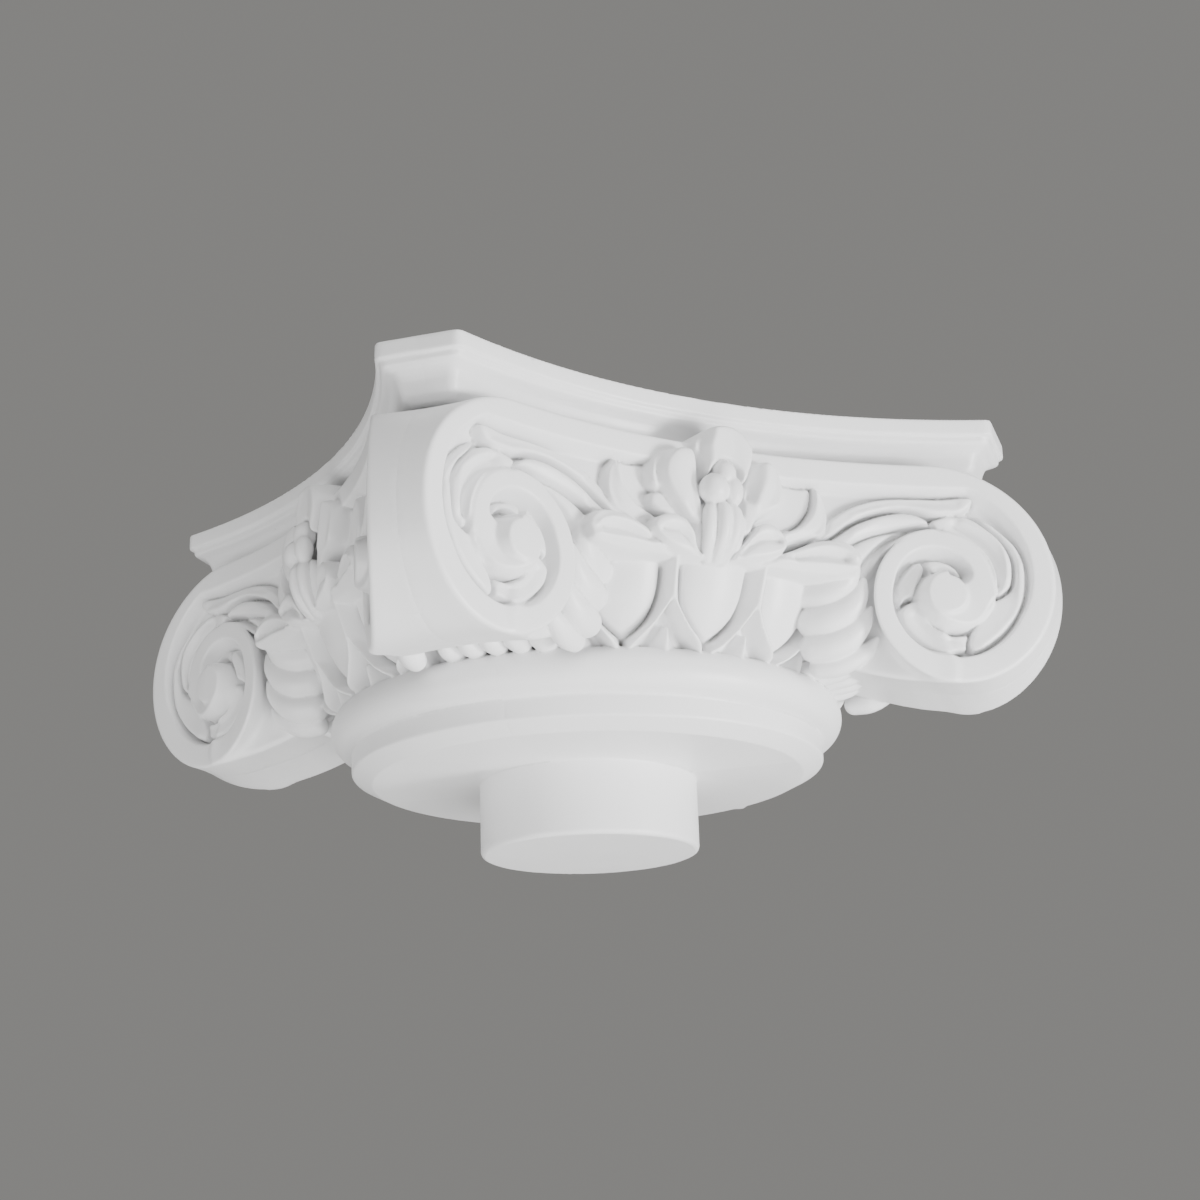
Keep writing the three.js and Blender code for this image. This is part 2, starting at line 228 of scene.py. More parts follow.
# Abacus: the square slab on top, with four concave sides and cut-off horns. Under its flat edge the
# moulding steps in and hollows back to the scrolls.
abacus_side_radius = 280.9
abacus_side_centre = 397.15
abacus_horn_sum = 261
abacus_corner_round = 3
to_side = abacus_side_radius - np.hypot(x, y + abacus_side_centre)
to_horn = (x - y - abacus_horn_sum) / np.sqrt(2)
abacus_outline = [
    (0, height), (0, 155.4), (-1.7, 155), (-2, 152.6), (-3.6, 151.9), (-5.4, 151.4),
    (-7, 150), (-8.2, 147.6), (-9, 144.8), (-10, 142.6), (-13.3, 140.6), (-20, 139.4),
    (-130, 138.6), (-130, height),
]
where = band(138, height)
add(moulding(abacus_outline, trim(to_side, to_horn, abacus_corner_round), z[where]), where, 0.4)


# Face: each face is hollow in plan, a wide cylinder with its axis in front of it. A place on it is s, the
# length along its curve from the middle, and z. How far the carving stands proud is a table of (s, z).
face_radius = 300.5
face_centre = 420.3
s_step = 0.25
s = np.arange(-4, 172, s_step, dtype=np.float32)[:, None]
face_s = face_radius * np.arctan2(x, y + face_centre)
face_proud = face_radius - np.hypot(x, y + face_centre)
to_corner = (x - y) / np.sqrt(2)
off_corner = (x + y) / np.sqrt(2)
ruled_cos = np.clip((face_centre - to_corner * np.sqrt(2)) / (face_radius * np.sqrt(2)), -1, 1)
ruled_s = face_radius * (np.arccos(ruled_cos) - np.pi / 4)


# Canal and scrolls: a sunk band with a plain rim runs along each face and winds into a scroll at both
# ends, two turns that climb to a proud round eye. The two scrolls of a corner share one hem, hollow across.
eye_s = 96.8
eye_z = 85.9
scroll_degrees = [0, 45, 90, 135, 180, 225, 270, 315, 360, 405, 450, 495, 540, 585, 630, 675, 720]
scroll_reach = [55.5, 51.2, 45.4, 40.5, 36.3, 33.4, 31, 29.4, 27.6, 24.7, 20.2, 15.8, 11.6, 10, 9, 8.4, 7.8]
wall_degrees = [180, 270, 360, 450, 495, 540, 585, 630, 675, 720]
wall_width = [1.4, 1.2, 0.9, 1, 1.9, 3.5, 4.2, 3.8, 3.2, 3]
rim_start = 54
rim_width = 11
rim_swell = 2.3
rim_swell_angle = 125
scroll_shrink = 0.00217
canal_foot = 127.4
canal_rim_foot = 131.3
channel_depth = 6.5
channel_sink = 1.5
eye_rise = 5.5
eye_disc_s = 95.8
eye_disc_z = 84.8
eye_disc_radius = 7.7
hem_hollow = 1.6
hem_half = 28.5
arris_round = 1.8
turn = np.degrees(np.arctan2(s - eye_s, z - eye_z)) % 360
reach = np.hypot(s - eye_s, z - eye_z)


fine_degrees = np.arange(0, 721, 3)
fine_reach = np.interp(fine_degrees, scroll_degrees, scroll_reach)
fine_reach = np.convolve(np.pad(fine_reach, 5, mode="edge"), np.full(11, 1 / 11), mode="valid")
scroll_top = eye_z + fine_reach[0]


def spiral(degrees):
    """Outer arris of the scroll."""
    return np.interp(degrees, fine_degrees, fine_reach)


def rim_edge(degrees):
    """Inner edge of the rim, where its cove meets the floor of the channel."""
    plain = rim_start * np.exp(-scroll_shrink * degrees)
    return plain - rim_width - rim_swell * np.cos(np.radians(degrees - rim_swell_angle))


def cove_width(degrees):
    return 1.7 + 3.2 * np.clip(np.cos(np.radians(degrees - 15)), 0, 1) ** 0.8


def ease(value, start, end):
    share = np.clip((value - start) / (end - start), 0, 1)
    return share * share * (3 - 2 * share)


def cove(inside, width, depth):
    """A quarter-round hollow, from the arris down to the floor."""
    return -depth * np.sin(np.clip(inside / width, 0, 1) * np.pi / 2)


def wall(top, depth, start, width):
    """The side of the next turn, rounded over at its arris."""
    share = np.clip((reach - start) / width, 0, 1)
    return top - (top + depth) * share ** 1.5


above = np.maximum(np.cos(np.radians(turn)), 0.1)
to_line = (canal_rim_foot - eye_z) / above
first_edge = rim_edge(turn) + cove_width(turn)
first_edge = np.where(turn < 90, np.minimum(first_edge, to_line), first_edge)
depth = channel_depth + channel_sink * ease(turn, 180, 360)
first = cove(first_edge - reach, cove_width(turn), depth)
strip_top = eye_rise * ease(turn, 100, 215)
inner = wall(strip_top, depth, spiral(turn + 360), np.interp(turn + 360, wall_degrees, wall_width))
second_edge = rim_edge(turn + 360) + cove_width(turn)
second_depth = (channel_depth + channel_sink) * ease(62 - turn, 0, 25)
second = cove(second_edge - reach, cove_width(turn), second_depth)
inner = np.where(turn < 62, np.minimum(inner, second), inner)
to_disc = np.hypot(s - eye_disc_s, z - eye_disc_z) - eye_disc_radius
disc_side = 3.1 + 2.9 * np.clip(np.cos(np.radians(turn - 110)), 0, 1)
fall = eye_rise + channel_depth + channel_sink
disc = eye_rise - fall * np.clip(to_disc / disc_side, 0, 1)
face_relief = np.maximum(np.maximum(first, inner), np.where(reach < 20, disc, -fall))
canal_wall = wall(0, channel_depth, spiral(turn), np.interp(turn, wall_degrees, wall_width))
canal = np.maximum(cove(canal_rim_foot - z + 0 * s, canal_rim_foot - canal_foot, channel_depth), canal_wall)
in_canal = (turn > 180) & (s < eye_s) & (reach > spiral(turn))
face_relief = np.where(in_canal, np.minimum(face_relief, canal), face_relief)

canal_slab = polygon_distance(
    [(-40, scroll_top), (eye_s + 1, scroll_top), (eye_s + 1, 110), (77, 108), (69, 103), (62, 95.5), (59, 91),
     (-40, 91)],
    s, z[None, :])
face_outline = np.minimum((reach - spiral(turn)) * 0.97, canal_slab)


# Leaves: long leaves spring from beside the flower, run out along the canal and follow the channel round
# the eye. They were carved on the sunk floor, so their edges drop steeply to it.
cut_depth = 1.8
cut_width = 1.3


def smooth_line(points, steps=6, closed=True):
    """Points on a curve through these points."""
    p = np.array(points, dtype=np.float32)
    if closed:
        p = np.concatenate([p[-1:], p, p[:2]])
    else:
        p = np.concatenate([2 * p[:1] - p[1:2], p, 2 * p[-1:] - p[-2:-1]])
    t = np.linspace(0, 1, steps, endpoint=False)[:, None]
    pieces = []
    for a, b, c, d in zip(p[:-3], p[1:-2], p[2:-1], p[3:]):
        pieces.append(b + 0.5 * t * (c - a + t * (2 * a - 5 * b + 4 * c - d + t * (3 * (b - c) + d - a))))
    return np.concatenate(pieces + ([] if closed else [p[-2:-1]]))


def line_distance(points, across, up):
    """Distance to an open line."""
    line = smooth_line(points, closed=False)
    return np.minimum.reduce([segment_distance(p, q, across, up) for p, q in zip(line[:-1], line[1:])])


def lobe(relief, across, outline, crest, roll, ridges=(), floor=-9.0, dome=0.0):
    """Lays a leaf on the relief, with a fine cut round it. Its edge rolls down over the given width, and it
    swells by the dome. Each ridge is (line, width, height), or a groove where the height is below zero."""
    outside = polygon_distance(smooth_line(outline), across, z[None, :])
    cut = cut_depth * np.clip(1 - outside / cut_width, 0, 1)
    relief = np.where((outside > 0) & (relief > floor + cut), relief - cut, relief)
    inside = np.maximum(-outside, 0)
    edge = np.sqrt(1 - (1 - np.clip(inside / roll, 0, 1)) ** 2)
    top = floor + (crest - floor) * edge + dome * (1 - np.exp(-inside / 3))
    for line, width, rise in ridges:
        top = top + rise * np.exp(-(line_distance(line, across, z[None, :]) / width) ** 1.6)
    return np.where(inside > 0, np.maximum(relief, top), relief)


canal_leaves = [
    # panel behind the flower
    ([(8, 129.5), (28.5, 129.4), (37, 128.8), (43.2, 128.4), (42.6, 121), (41, 118), (38.5, 114.8), (34, 111),
      (28, 107), (8, 106)], -3.4, 0.8, [], 0),
    # spur that runs from the level leaf to the scroll
    ([(49, 97), (56, 103), (62, 107.5), (70, 111.5), (78, 113.5), (84, 114.3), (80, 112), (75, 109.3),
      (70, 105.5), (65, 100.5), (61, 95)], -4.2, 1.6, [], 1.2),
    # second leaf
    ([(46, 105), (54, 110), (62, 115.5), (70, 118.8), (78, 120.8), (85, 120.9), (90, 119), (94, 115.6),
      (90, 115.6), (84, 114.8), (75, 113), (66, 110.2), (59, 106.5), (52, 101)],
     -2.4, 1.3, [([(60, 111), (68, 115.5), (76, 118), (86, 118), (92, 116.6)], 1.5, 0.9)], 1.0),
    # long upper leaf, with its tip on the cove
    ([(40, 104), (46, 111), (52, 117), (59, 121.8), (67, 125.2), (76, 127), (86, 127.5), (97, 127.5),
      (107, 128.2), (110.5, 127.7), (111.2, 126.3), (110.3, 124.3), (108, 122), (105, 120.7), (100, 119.6),
      (94, 119.6), (89, 121.2), (84, 122.3), (79, 122.2), (73, 121), (66, 118.6), (58, 114.5), (50, 108.5)],
     -1.8, 1.1, [([(50, 113), (62, 120.5), (74, 124.2), (88, 125), (104, 125)], 2.0, -1.3),
                 ([(60, 118.8), (70, 121.6), (78, 123.2), (88, 123.2), (96, 121.8), (105, 121.9)],
                  0.8, 0.8)], 1.2),
    # upright leaf
    ([(44.4, 129.8), (46.3, 127.8), (48, 125), (48.9, 122), (49.4, 119), (49.5, 116), (48.8, 112.8),
      (46.8, 109.4), (43, 107), (37, 104.2), (30, 102), (24, 101), (22, 105), (28, 108.2), (34.5, 111),
      (38.3, 113.6), (41, 117), (42.8, 121), (43.6, 125)],
     -0.6, 1.2, [([(30, 104), (38, 106.8), (44, 110), (47, 115), (47.3, 121), (45.5, 127)], 1.6, -1.2),
                 ([(30, 107), (36, 110), (40.5, 113.5), (43.4, 118), (44.6, 123), (44.8, 128)], 0.8, 0.9)], 0.8),
]
channel_leaves = [
    # broad leaf on the inner side
    ([(93, 117.5), (98, 119.6), (103, 120.3), (108, 119.8), (112.5, 117.6), (117, 114), (121, 109.5),
      (124, 104.5), (125.2, 100), (125.2, 96), (124.7, 92), (123.3, 89), (121, 87), (118.3, 85.6), (117.6, 90),
      (116.6, 96), (114.5, 101.5), (111, 106.5), (106, 110.8), (100, 113.2), (95, 114)],
     -2.4, 1.0, [([(103, 115.8), (111, 110.5), (116, 104.5), (118.5, 98), (119, 91)], 2.4, -3.2),
                 ([(106, 117.5), (113, 114.2), (118, 110.5), (121.3, 106), (122.5, 100), (122.2, 94), (120, 88.5)],
                  0.9, 1.2)], 1.0),
    # long leaf on the outer side
    ([(110, 121.5), (113, 120), (117, 117.5), (121, 114), (124.5, 110.5), (127.3, 107), (129.2, 103),
      (130.2, 98), (130.2, 92), (129.2, 85.5), (127, 80), (124.2, 75.3), (120.5, 70.8), (116, 67), (111, 63.7),
      (106.5, 62.4), (105, 66), (106.5, 70.8), (109.5, 74.5), (113, 78.4), (116.3, 83.5), (121.5, 86.4),
      (124.7, 89.6), (125.8, 95), (125.8, 100), (124.2, 105.5), (120.8, 110.5), (116, 115)],
     -2.6, 1.0, [([(127.8, 99), (127, 88), (125, 80), (121, 75), (116, 70), (110, 65.5)], 1.6, 1.0)], 1.0),
    # leaf along the bottom
    ([(77.5, 78.5), (78.4, 74), (80.4, 70.8), (83.4, 67.8), (87, 65.4), (91, 63.6), (96, 62.4), (101, 62.5),
      (104, 63.3), (104.2, 66), (105.2, 70), (101, 69.6), (97, 69.8), (93, 71.4), (90, 74), (87.8, 77),
      (86.4, 80.5), (85.5, 83.7), (82, 83.2), (79.2, 81)],
     -2.8, 1.0, [([(85.3, 83), (86, 80), (87.5, 76.5), (90, 73), (93, 70.3), (97, 68.5), (102, 68.4)],
                  0.8, 1.1),
                 ([(83, 77), (86, 72.5), (91, 68.5), (97, 66.8)], 1.6, -1.2)], 1.0),
    # small leaf at the left of the eye
    ([(87.6, 100.4), (88.8, 98.5), (89, 96.5), (88.1, 94), (86.1, 91), (84.6, 87.5), (84, 85.4), (82, 84.9),
      (80, 83.7), (78.6, 81.5), (77.9, 83.4), (77.6, 86), (78.3, 90), (80.3, 94), (83.2, 97.4), (86, 100)],
     -3.0, 0.9, [([(88, 97), (85.5, 93), (83, 88), (80.5, 84)], 0.9, 1.0)], 0.8),
    # small leaf over the eye
    ([(90, 100.4), (92, 101.2), (95, 101.4), (99, 100.4), (102, 98.4), (104, 95.6), (105, 92.5), (103.5, 93.5),
      (101.5, 95.6), (98.7, 97.2), (96, 97.6), (93.3, 96.9), (91.2, 95), (90, 97.5)], -3.6, 0.9, [], 0.6),
]
for outline, crest, roll, ridges, dome in canal_leaves + channel_leaves:
    face_relief = lobe(face_relief, s, outline, crest, roll, ridges, dome=dome)

where = band(44, scroll_top)
face_table = soften(face_relief, 1)
face = stand_on(face_table[:, where], s_step, s[0, 0], s_step, face_s, face_proud)
hollow = hem_hollow * np.clip(1 - (off_corner / hem_half) ** 2, 0, 1)
scroll = spread(face_outline[:, where].astype(np.float32), s[0, 0], s_step, ruled_s) + hollow[..., None]
add(trim(scroll, face, arris_round), where, 0.5)


# Web: under each scroll a smooth web as wide as the hem carries it from the necking.
web_outline = [(50, 74), (86, 72), (100, 67.5), (108, 64.6), (116, 61.6), (124, 58.6), (132, 55.9), (140, 53.6),
               (148, 51.9), (156, 51), (163, 51.6), (164, 56), (160, 70), (139, 76), (139, 125), (50, 125)]
web_half = 28.3
web_round = 2.5
where = band(49, 125)
web = moulding(web_outline, to_corner, z[where]) + hollow[..., None]
add(trim(web, np.abs(off_corner)[..., None] - web_half, web_round), where, 4)
# a row of small round petals hangs below the web, over the torus
petal_spacing = 9.4
petal_deep, petal_half, petal_tall = 10, 4.9, 4
petal_z = 63.6
near_web = (to_corner > 90) & (to_corner < 126) & (off_corner > -34)
where = band(petal_z - petal_tall, petal_z + petal_tall)
for place in range(3):
    petal_out = 110 - 1.2 * place ** 2
    petal = np.sqrt(((to_corner[near_web] - petal_out) / petal_deep) ** 2
                    + ((off_corner[near_web] + petal_spacing * place) / petal_half) ** 2)
    petal = (np.hypot(petal[:, None], (z[where] - petal_z) / petal_tall) - 1) * petal_half
    block[near_web, where] = fuse(block[near_web, where], petal, 0.5)


# Husks: three folded leaves, one above another, between the eggs and the scroll. Each has a swollen front
# and runs up to a point against the wall of the scroll.
def horn(stations):
    """Distance to a swelling round form along a curve: stations are (x, depth, z, radius)."""
    line = smooth_line(stations, steps=4, closed=False)
    nearest = np.full((len(husk_x), len(husk_z)), 1e3, dtype=np.float32)
    for (ax, ad, az, ar), (bx, bd, bz, br) in zip(line[:-1], line[1:]):
        dx, dy, dz = bx - ax, -(bd - ad), bz - az
        px, py, pz = (husk_x - ax)[:, None], (husk_y + ad)[:, None], husk_z - az
        t = np.clip((px * dx + py * dy + pz * dz) / (dx * dx + dy * dy + dz * dz), 0, 1)
        gap = np.sqrt((px - t * dx) ** 2 + (py - t * dy) ** 2 + (pz - t * dz) ** 2) - (ar + (br - ar) * t)
        nearest = np.minimum(nearest, gap)
    return nearest


near_husk = (x > 36) & (x < 92) & (y < -88)
husk_x, husk_y = x[near_husk], y[near_husk]
where = band(56, 106)
husk_z = z[where]
husks = [
    # ground behind the leaves
    [(60, 102, 70, 7), (63, 106, 79, 8), (60, 109, 90, 7)],
    [(55, 101, 60.5, 4.4), (60, 105, 61, 5), (65, 109, 63, 4.6), (70, 113, 66, 3.2), (73, 115.5, 70.5, 1.2)],
    [(51, 104, 67.5, 6), (56, 108.5, 67.8, 6.4), (61.5, 113, 70.5, 5.7), (66, 117, 75.5, 3.8),
     (68.5, 119.5, 81.5, 1.2)],
    [(49.5, 106, 77.5, 6.4), (54, 110.5, 77.8, 6.8), (59.5, 115, 80.8, 6), (63.5, 119, 86, 4),
     (65.5, 121, 92.5, 1.2)],
    [(47.5, 107, 88, 6), (52, 111.5, 88, 6.4), (56.5, 116, 90.5, 5.7), (60, 120, 95, 3.8),
     (62, 122, 100.5, 1.2)],
]
for stations in husks:
    here = block[near_husk, where]
    block[near_husk, where] = fuse(here, horn(stations), 0.5)


# The half face is mirrored to a whole one. It ends a little past the corners, so that quarters overlap.
front = np.full((2 * columns, columns, layers), far, dtype=np.float32)
front[columns:][in_quarter] = block
front[:columns] = front[columns:][::-1]


# Flower: a top petal, two side petals, a bunch of berries in a fluted calyx, and curled leaves at its foot.
# It stands over the canal at the middle of each face, and leans out a little.
flower_half = 72
flower_s = np.arange(-flower_half, flower_half, s_step, dtype=np.float32)[:, None]
flower_relief = np.full((len(flower_s), layers), -12, dtype=np.float32)


def mirrored(outline):
    return [(-across, up) for across, up in outline]


level_leaf = [(4, 92.4), (14, 96), (28, 99.5), (41, 105), (50, 106.3), (57, 105), (61.5, 100), (61, 96),
              (58, 92), (44, 90.6), (24, 91.2), (4, 92)]
level_ridges = [([(33, 98.8), (40, 101.3), (45, 102.4), (50, 102.5), (55, 101.1), (58.5, 98.6)], 0.8, 1.6),
                ([(33, 97.4), (44, 99), (54, 98.2)], 1.8, -2.8),
                ([(24, 95.2), (40, 95.4), (58, 95)], 0.8, 1.2)]
mirrored_ridges = [(mirrored(line), width, rise) for line, width, rise in level_ridges]
flower_lobes = [
    (level_leaf, 3.2, 1.2, level_ridges, 0.6),
    (mirrored(level_leaf), 3.2, 1.2, mirrored_ridges, 0.6),
    # backing of the petals
    ([(-12, 101), (12, 101), (14, 112), (13, 126), (6, 134), (-6, 134), (-12, 126), (-13, 112)], 1.0, 2.0, [], 0),
    # lower lobes behind the left petal
    ([(-17, 136.5), (-25, 135.5), (-30, 131), (-32.3, 124.5), (-31, 119), (-24, 117), (-14, 126)],
     2.8, 1.8, [], 1.0),
    ([(-14, 120), (-24, 119), (-31, 117), (-32.3, 112.5), (-28, 108.5), (-20, 105.5), (-12, 108)],
     1.6, 2.0, [], 1.5),
    # left petal
    ([(-13.2, 136), (-18, 137), (-23, 135), (-27, 130.5), (-28.6, 125), (-27.5, 119.5), (-24, 114),
      (-17.5, 107.5), (-11, 104), (-9.5, 112), (-11, 120), (-10.8, 129)],
     6.6, 2.2, [([(-21, 132), (-23, 124), (-19, 114)], 3.2, 0.8),
                ([(-14, 128), (-15, 118), (-13, 109)], 2.6, -1.6)], 1.4),
    # right petal
    ([(11.5, 126), (13.5, 132), (17, 135.3), (21.5, 136), (26, 133), (28.3, 128), (28.2, 121.5), (26, 116),
      (20, 113), (15, 109), (13, 104), (8, 103), (8, 113), (9, 121)],
     5.0, 2.2, [([(14.6, 132), (13.6, 126), (12, 119)], 1.8, -3.6),
                ([(20.5, 133.5), (19, 126), (15, 117)], 2.4, 1.6),
                ([(25.5, 131), (24.5, 124), (20, 117)], 2.4, -0.8)], 1.2),
    # top petal
    ([(-13, 136.5), (-11.8, 141), (-7, 146), (0, 148.6), (6.5, 147.8), (11.6, 144), (14.4, 139), (14.2, 134),
      (12.3, 128.5), (10.5, 124.5), (7.6, 124), (5.5, 128.6), (1, 131.3), (-3.5, 129.4), (-6.6, 125),
      (-9.4, 124.6), (-9.6, 130)],
     7.8, 2.4, [([(-9.8, 132), (-10, 138), (-8, 143)], 2.2, -4.2),
                ([(-5.5, 131), (-5.6, 138), (-3, 144.5)], 2.0, 1.0),
                ([(5, 136), (4.5, 142)], 4, -0.8)], 1.2),
    # curled leaves
    ([(3, 93), (8, 99.5), (12, 104.5), (15, 108.5), (19, 110), (23, 108.5), (26.5, 105), (28, 101), (26.5, 98),
      (22, 95.6), (14, 93.4), (6, 92.2)],
     6.2, 1.3, [([(7, 95.5), (12, 99.6), (18, 102.4), (24, 102.2)], 1.3, -2.6),
                ([(6, 97), (12, 103), (18, 106.5), (23, 105.8), (26, 102)], 1.3, 0.8)], 0.8),
    ([(-8, 92.2), (-12, 97), (-15, 103), (-19, 107.5), (-25, 108.6), (-31, 106), (-33.5, 102.5), (-32, 99.5),
      (-27, 95.4), (-20, 92.6), (-12, 91.4)],
     6.2, 1.3, [([(-12, 94), (-17, 98.5), (-22, 101.4), (-28, 101.2)], 1.3, -2.6),
                ([(-14, 100), (-19, 104.4), (-25, 105.2), (-30, 102.5)], 1.3, 0.8)], 0.8),
]
flower_outline = np.full(flower_relief.shape, 50, dtype=np.float32)
for outline, crest, roll, ridges, dome in flower_lobes:
    flower_relief = lobe(flower_relief, flower_s, outline, crest, roll, ridges, floor=-10, dome=dome)
    flower_outline = np.minimum(flower_outline, polygon_distance(smooth_line(outline), flower_s, z[None, :]))
turned_under = 95.4
flower_relief = flower_relief - 4.5 * np.clip((turned_under - z) / 5, 0, 1.2) ** 1.6

deep = across[across > 100]
where = band(88, 150)
petal_rows = slice(columns - int(flower_half / cell), columns + int(flower_half / cell))
full = (np.arange(2 * columns, dtype=np.float32) + 0.5 - columns) * cell
fx = full[petal_rows][:, None]
fy = -deep[None, :]
flower_z = z[where]
flower_place = face_radius * np.arctan2(fx, fy + face_centre)
flower_proud = face_radius - np.hypot(fx, fy + face_centre)
flower_table = soften(flower_relief, 1)[:, where]
flower = stand_on(flower_table, s_step, flower_s[0, 0], s_step, flower_place, flower_proud)
flower = np.maximum(flower, spread(flower_outline[:, where], flower_s[0, 0], s_step, flower_place))


def spindle(stations, grooves, groove_depth):
    """An upright turned form on a leaning axis: stations are (x, depth, z, radius)."""
    sx, sd, sz, sr = smooth_line(stations, closed=False).T
    cx, cy, cr = (np.interp(flower_z, sz, v).astype(np.float32) for v in (sx, -sd, sr))
    dx = fx[..., None] - cx
    dy = fy[..., None] - cy
    around = np.arctan2(dx, -dy)
    flute = np.abs(np.sin((around - 0.25) * grooves / 2)) ** 0.45
    out = np.hypot(dx, dy) - cr * (1 - groove_depth * (1 - flute))
    return np.maximum(out * 0.8, np.maximum(sz[0] - flower_z, flower_z - sz[-1]))


def berry(bx, depth, bz, size, tall):
    return np.sqrt((fx[..., None] - bx) ** 2 + (fy[..., None] + depth) ** 2 + ((flower_z - bz) / tall) ** 2) - size


calyx = spindle([(-3, 117, 91, 6), (-2.6, 118.5, 95, 9), (-2.2, 120.5, 100, 10.6), (-2, 121.6, 106, 11.4),
                 (-2, 122, 111, 10.8), (-2.2, 122.5, 114, 8), (-2.4, 123, 115.6, 4)], 9, 0.34)
flower = fuse(flower, calyx, 0.6)
for bx, depth, bz, size, tall in [(-6.2, 128.4, 119.2, 5.8, 1.08), (-0.6, 127.2, 126.4, 4.8, 1.2),
                                  (2.4, 128.6, 119.2, 4.0, 1.5)]:
    flower = fuse(flower, berry(bx, depth, bz, size, tall), 0.3)
first_deep = columns - len(deep)
front[petal_rows, first_deep:, where] = fuse(front[petal_rows, first_deep:, where], flower, 0.5)


# Casting: rigid white polyurethane, cast in one, sprayed with a white primer that dries to a satin skin.
# The surface of the block becomes the mesh of one quarter, which is turned for the others.
quarter_triangles = 190000
quarter_names = ["casting_front", "casting_right", "casting_back", "casting_left"]
skin_depth = 1.4
flat_within = 1.5


def cast_mesh(distances):
    """The zero surface of the block as a closed mesh in metres."""
    skin = np.clip(distances, -skin_depth, skin_depth)
    for axis in range(3):
        ahead = np.roll(skin, 1, axis) + np.roll(skin, -1, axis)
        skin = (2 * skin + ahead) / 4
    grid = openvdb.FloatGrid(background=skin_depth)
    grid.copyFromArray(skin)
    points, triangles, quads = grid.convertToPolygons(isovalue=0.0, adaptivity=0.0)
    points = points * cell
    points[:, 0] += (0.5 - columns) * cell
    points[:, 1] = -(points[:, 1] + 0.5 * cell)
    points[:, 2] -= margin
    # the flat ends are drawn out past the axis, so that the cuts of the four quarters meet on it
    points[points[:, 1] > -1, 1] += 2
    split = np.concatenate([quads[:, [2, 1, 0]], quads[:, [3, 2, 0]]])
    faces = np.concatenate([triangles[:, ::-1], split]) if len(triangles) else split
    mesh = bpy.data.meshes.new("casting")
    mesh.from_pydata((points * 0.001).tolist(), [], faces.tolist())
    return mesh


# beyond the seam and behind the middle there is nothing of this quarter
lap = (np.abs(full)[:, None] - across[None, :]) / np.sqrt(2) - seam_lap * 0.8
front = np.maximum(front, lap[..., None])
rough = bpy.data.objects.new("rough", cast_mesh(front))
bpy.context.scene.collection.objects.link(rough)
slim = rough.modifiers.new("slim", "DECIMATE")
slim.ratio = min(1, quarter_triangles / len(rough.data.polygons))
bpy.context.view_layer.update()
quarter = bpy.data.meshes.new_from_object(rough.evaluated_get(bpy.context.evaluated_depsgraph_get()))
bpy.data.objects.remove(rough)
# cut on the two diagonals, where the quarters meet
carved = bmesh.new()
carved.from_mesh(quarter)
# the end of the spigot, the seat and the top are true flats
for vert in carved.verts:
    out = np.hypot(vert.co.x, vert.co.y) * 1000
    on_end = out < spigot_radius - 2 and vert.co.z * 1000 < flat_within
    on_seat = spigot_radius + 1 < out < seat_radius - 1 and abs(vert.co.z * 1000 - seat_height) < flat_within
    if on_end or abs(vert.co.z) < 1e-4:
        vert.co.z = 0
    elif on_seat:
        vert.co.z = seat_height * 0.001
    elif vert.co.z * 1000 > height - flat_within / 4:
        vert.co.z = height * 0.001
for level in (0, height * 0.001):
    flat = [face for face in carved.faces if all(abs(vert.co.z - level) < 1e-6 for vert in face.verts)]
    plate = bmesh.ops.dissolve_faces(carved, faces=flat, use_verts=False)["region"]
    plate = set(bmesh.ops.triangulate(carved, faces=plate)["faces"])
    for edge in carved.edges:
        if len(set(face in plate for face in edge.link_faces)) == 2:
            edge.smooth = False
for facing in [(1, 1, 0), (-1, 1, 0)]:
    whole = carved.verts[:] + carved.edges[:] + carved.faces[:]
    cut = bmesh.ops.bisect_plane(
        carved, geom=whole, dist=2e-5, plane_co=(0, 0, 0), plane_no=facing, clear_outer=True)
    seam = [edge for edge in cut["geom_cut"] if isinstance(edge, bmesh.types.BMEdge)]
    for edge in seam:
        edge.smooth = False
    bmesh.ops.triangle_fill(carved, use_beauty=True, edges=seam)
for face in carved.faces:
    face.smooth = True
carved.to_mesh(quarter)
carved.free()

satin = bpy.data.materials.new("white_casting")
satin.use_nodes = True
nodes = satin.node_tree.nodes
links = satin.node_tree.links
skin = nodes["Principled BSDF"]
where_on_it = nodes.new("ShaderNodeTexCoord")
# patches where the primer is a little duller, and where the cast is a little uneven
patches = nodes.new("ShaderNodeTexNoise")
patches.inputs["Scale"].default_value = 45
patches.inputs["Detail"].default_value = 3
links.new(where_on_it.outputs["Object"], patches.inputs["Vector"])
dullness = nodes.new("ShaderNodeMapRange")
dullness.inputs["To Min"].default_value = 0.3
dullness.inputs["To Max"].default_value = 0.5
links.new(patches.outputs["Fac"], dullness.inputs["Value"])
links.new(dullness.outputs["Result"], skin.inputs["Roughness"])
uneven = nodes.new("ShaderNodeBump")
uneven.inputs["Distance"].default_value = 0.0002
links.new(patches.outputs["Fac"], uneven.inputs["Height"])
# fine grain of the spray
grain = nodes.new("ShaderNodeTexNoise")
grain.inputs["Scale"].default_value = 700
links.new(where_on_it.outputs["Object"], grain.inputs["Vector"])
peel = nodes.new("ShaderNodeBump")
peel.inputs["Distance"].default_value = 0.000025
links.new(grain.outputs["Fac"], peel.inputs["Height"])
links.new(uneven.outputs["Normal"], peel.inputs["Normal"])
links.new(peel.outputs["Normal"], skin.inputs["Normal"])
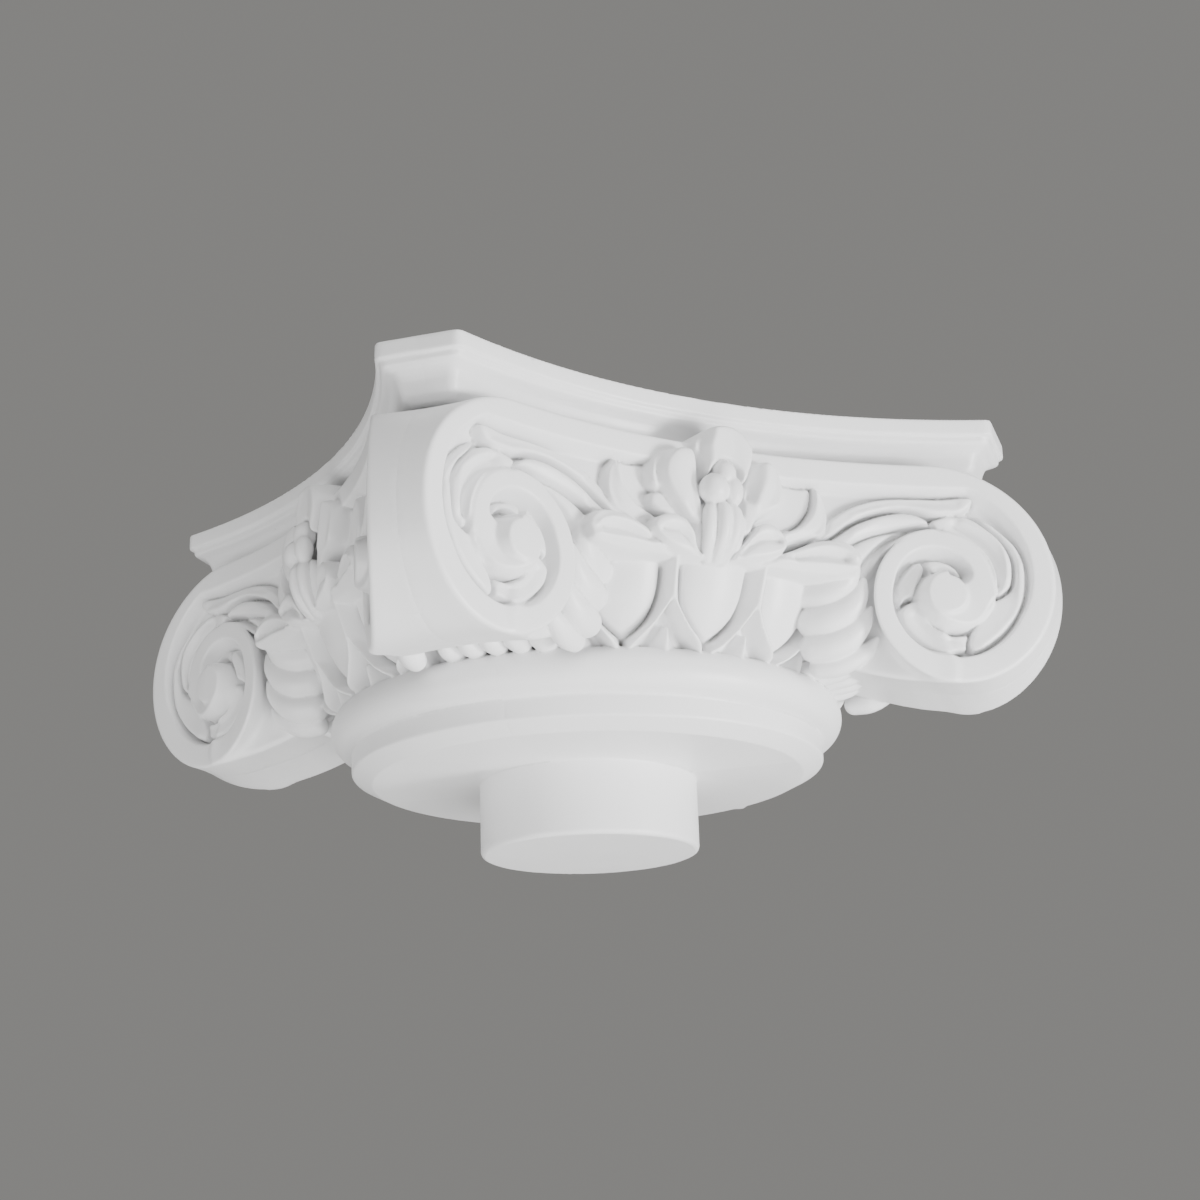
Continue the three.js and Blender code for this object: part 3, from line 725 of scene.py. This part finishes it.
# painted shade: the base colour is darkened in the narrow hollows, where shade falls
hollows = nodes.new("ShaderNodeNewGeometry")
painted_shade = nodes.new("ShaderNodeMapRange")
painted_shade.inputs["From Min"].default_value = 0.42
painted_shade.inputs["From Max"].default_value = 0.476
painted_shade.inputs["To Min"].default_value = 0.6
painted_shade.inputs["To Max"].default_value = 0
links.new(hollows.outputs["Pointiness"], painted_shade.inputs["Value"])
# the white of the casting mixed toward dark grey by the painted shade in the hollows
painted_shade_mix = nodes.new("ShaderNodeMix")
painted_shade_mix.data_type = "RGBA"
painted_shade_mix.inputs[6].default_value = (0.82, 0.82, 0.825, 1)
painted_shade_mix.inputs[7].default_value = (0.3, 0.3, 0.29, 1)
links.new(painted_shade.outputs["Result"], painted_shade_mix.inputs["Factor"])
links.new(painted_shade_mix.outputs[2], skin.inputs["Base Color"])

for place, name in enumerate(quarter_names):
    mesh = quarter.copy()
    mesh.name = name
    mesh.transform(Matrix.Rotation(np.pi / 2 * place, 4, "Z"))
    mesh.materials.clear()
    mesh.materials.append(satin)
    casting = bpy.data.objects.new(name, mesh)
    bpy.context.scene.collection.objects.link(casting)
    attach(casting, "root")
    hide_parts("capital")


# Studio: a pale floor well below, a grey surround, a small key from the front right and below, and broad
# fills from above, from the left and from below.
floor_mesh = bpy.data.meshes.new("studio_floor")
floor_mesh.from_pydata([(-6, -6, -0.7), (6, -6, -0.7), (6, 6, -0.7), (-6, 6, -0.7)], [], [(0, 1, 2, 3)])
floor = bpy.data.objects.new("studio_floor", floor_mesh)
bpy.context.scene.collection.objects.link(floor)
paper = bpy.data.materials.new("studio_paper")
paper.use_nodes = True
paper.node_tree.nodes["Principled BSDF"].inputs["Base Color"].default_value = (0.7, 0.7, 0.69, 1)
paper.node_tree.nodes["Principled BSDF"].inputs["Roughness"].default_value = 0.9
floor_mesh.materials.append(paper)

world = bpy.data.worlds.new("studio")
bpy.context.scene.world = world
world.use_nodes = True
world.node_tree.nodes["Background"].inputs["Color"].default_value = (0.235, 0.232, 0.224, 1)
world.node_tree.nodes["Background"].inputs["Strength"].default_value = 1.0


def soft_light(name, place, size, power):
    data = bpy.data.lights.new(name, "AREA")
    data.shape = "SQUARE"
    data.size = size
    data.energy = power
    lamp = bpy.data.objects.new(name, data)
    lamp.location = place
    lamp.rotation_euler = (Vector((0, 0, 0.09)) - Vector(place)).to_track_quat("-Z", "Y").to_euler()
    bpy.context.scene.collection.objects.link(lamp)


soft_light("key", (0.75, -1.1, -0.35), 0.3, 24)
soft_light("fill_top", (0.1, -0.9, 1.1), 1.2, 18)
soft_light("fill_left", (-1.0, -0.2, -0.5), 0.8, 11)
soft_light("fill_below", (0.1, -0.5, -0.55), 0.9, 9)


# Camera: low at the left, looking up at the front left corner, as in the photograph.
view_azimuth, view_elevation, view_roll = np.radians((-26.63, -16.877, -1.743))
view_distance = 974.344
view_yaw, view_pitch = np.radians((0.443, 0.343))
view_target_z = 106.018
focal_pixels = 2239.224
picture_width = 1200
sensor_width = 36
back = Vector((np.sin(view_azimuth) * np.cos(view_elevation), -np.cos(view_azimuth) * np.cos(view_elevation),
               np.sin(view_elevation)))
right = (-back).cross(Vector((0, 0, 1))).normalized()
up = right.cross(-back)
ahead = -back * np.cos(view_yaw) + right * np.sin(view_yaw)
right = right * np.cos(view_yaw) + back * np.sin(view_yaw)
ahead, up = (ahead * np.cos(view_pitch) + up * np.sin(view_pitch),
             up * np.cos(view_pitch) - ahead * np.sin(view_pitch))
right, up = (right * np.cos(view_roll) + up * np.sin(view_roll),
             up * np.cos(view_roll) - right * np.sin(view_roll))
camera_data = bpy.data.cameras.new("camera")
camera_data.sensor_width = sensor_width
camera_data.lens = focal_pixels / picture_width * sensor_width
camera = bpy.data.objects.new("camera", camera_data)
turned = Matrix((right, up, -ahead)).transposed().to_4x4()
stand = (Vector((0, 0, view_target_z)) + back * view_distance) * 0.001
camera.matrix_world = Matrix.Translation(stand) @ turned
bpy.context.scene.collection.objects.link(camera)
bpy.context.scene.camera = camera
